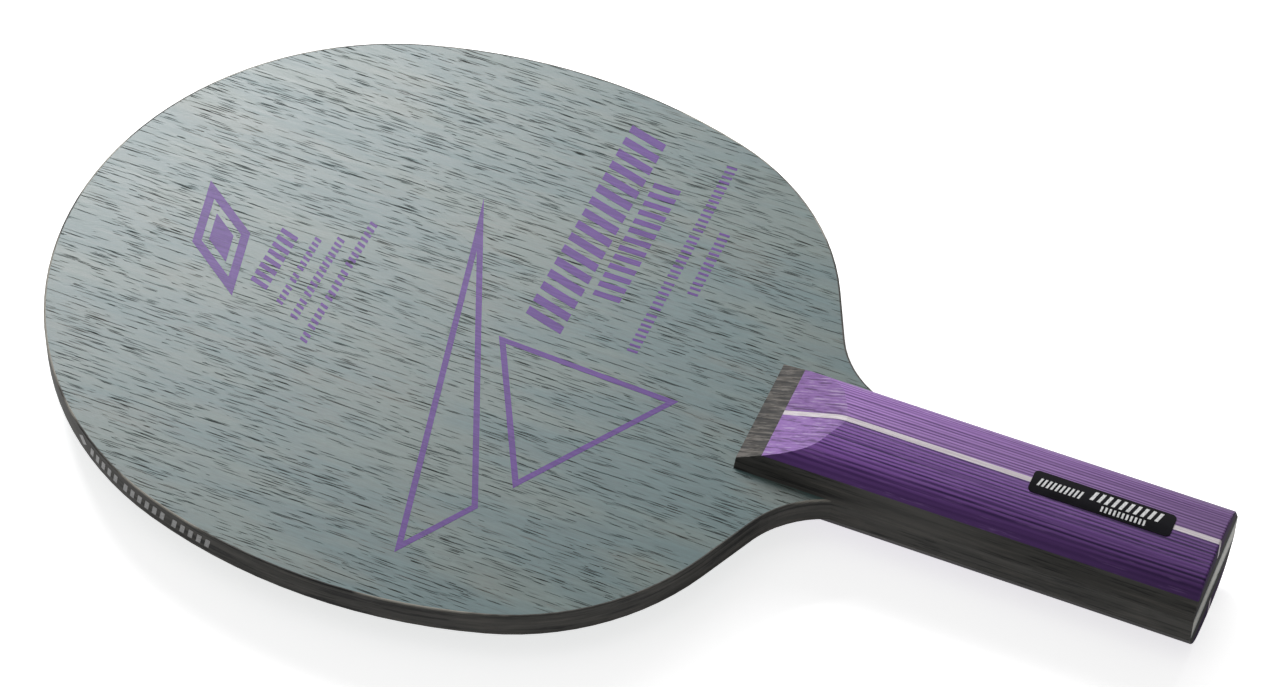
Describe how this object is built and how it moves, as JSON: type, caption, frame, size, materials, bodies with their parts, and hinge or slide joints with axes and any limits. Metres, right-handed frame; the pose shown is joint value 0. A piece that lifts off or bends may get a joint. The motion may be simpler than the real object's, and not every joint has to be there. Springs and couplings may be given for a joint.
{
  "type": "table tennis paddle",
  "caption": "Table tennis blade: egg-shaped laminated wood head without rubber sheets, dark edge strip, straight handle with purple scales, a pale stripe and a blank label.",
  "frame": {"origin": "middle of the bat's length, width and thickness", "axes": "+X from the tip of the head to the butt of the handle, +Y to the left block's side, +Z out of the front hitting face"},
  "size_m": [0.257, 0.15, 0.0241],
  "materials": {
    "face_veneer": "matte blue-grey dyed open-pored veneer",
    "carbon_sheet": "thin black woven fibre in resin",
    "medial_ply": "matte pale wood",
    "core_ply": "matte pale light wood",
    "edge_band": "satin charcoal dyed wood",
    "scale_base": "satin charcoal dyed wood",
    "scale_far_block": "satin purple dyed laminated wood",
    "scale_near_block": "satin purple dyed laminated wood",
    "scale_stripe": "satin pale wood",
    "name_label": "gloss black plate"
  },
  "bodies": {
    "root": {"back_carbon_sheet": "carbon_sheet", "back_face_veneer": "face_veneer", "back_medial_ply": "medial_ply", "back_scale_base": "scale_base", "back_scale_left_block": "scale_far_block", "back_scale_right_block": "scale_near_block", "back_scale_stripe": "scale_stripe", "core_ply": "core_ply", "edge_band": "edge_band", "front_carbon_sheet": "carbon_sheet", "front_face_veneer": "face_veneer", "front_medial_ply": "medial_ply", "front_scale_base": "scale_base", "front_scale_left_block": "scale_far_block", "front_scale_right_block": "scale_near_block", "front_scale_stripe": "scale_stripe", "name_label": "name_label"}
  },
  "joints": []
}
